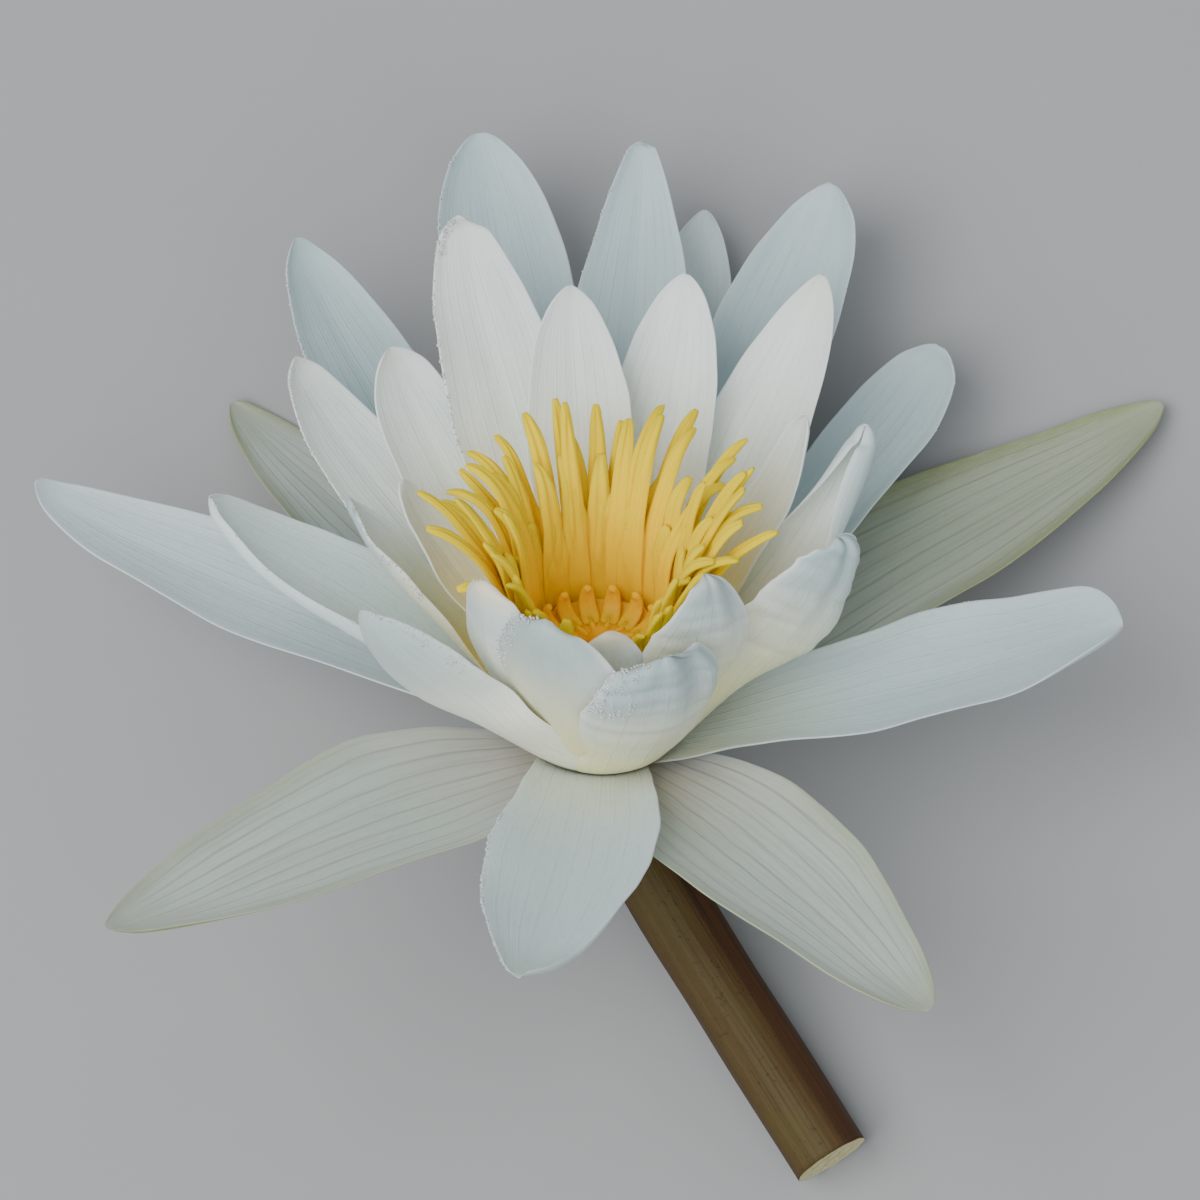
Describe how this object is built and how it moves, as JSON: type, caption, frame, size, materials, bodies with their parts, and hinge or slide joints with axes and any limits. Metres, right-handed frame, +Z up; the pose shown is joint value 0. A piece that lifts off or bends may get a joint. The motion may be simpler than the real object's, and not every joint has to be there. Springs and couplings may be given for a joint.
{
  "type": "water lily flower",
  "caption": "White water lily blossom with layered boat-shaped petals, yellow stamens and a short brown stem, lying on a surface.",
  "frame": {"origin": "centre of the flower's footprint on the surface it lies on", "axes": "+Z up from the surface; +X to the right and +Y away from a viewer who looks into the open flower with the stem towards them"},
  "size_m": [0.1396, 0.1348, 0.0646],
  "materials": {
    "sepal": "satin plant skin, white with fine grey-mauve veins and yellow-green margins",
    "petal": "satin translucent white petal, cooler in the shade, cream towards its base",
    "inner_petal": "satin translucent cream white petal with a finely wrinkled back",
    "stamen": "matt lemon yellow tips running to orange bases",
    "stigma": "moist orange yellow stigma on a pale ovary",
    "stem": "smooth satin brown skin with an olive side, pale spongy cut end"
  },
  "bodies": {
    "root": {"sepal_front_left": "sepal", "sepal_front_right": "sepal", "sepal_back_right": "sepal", "sepal_back_left": "sepal", "petal_outer_1": "petal", "petal_outer_2": "petal", "petal_outer_3": "petal", "petal_outer_4": "petal", "petal_outer_5": "petal", "petal_outer_6": "petal", "petal_outer_7": "petal", "petal_outer_8": "petal", "petal_outer_9": "petal", "petal_outer_10": "petal", "petal_middle_1": "petal", "petal_middle_2": "petal", "petal_middle_3": "petal", "petal_middle_4": "petal", "petal_middle_5": "petal", "petal_middle_6": "petal", "petal_middle_7": "petal", "petal_middle_8": "petal", "petal_inner_1": "inner_petal", "petal_inner_2": "inner_petal", "petal_inner_3": "inner_petal", "petal_inner_4": "inner_petal", "petal_inner_5": "inner_petal", "petal_inner_6": "inner_petal", "petal_inner_7": "inner_petal", "petal_inner_8": "inner_petal", "petal_inner_9": "inner_petal", "stamens": "stamen", "pistil": "stigma", "stem": "stem"}
  },
  "joints": []
}
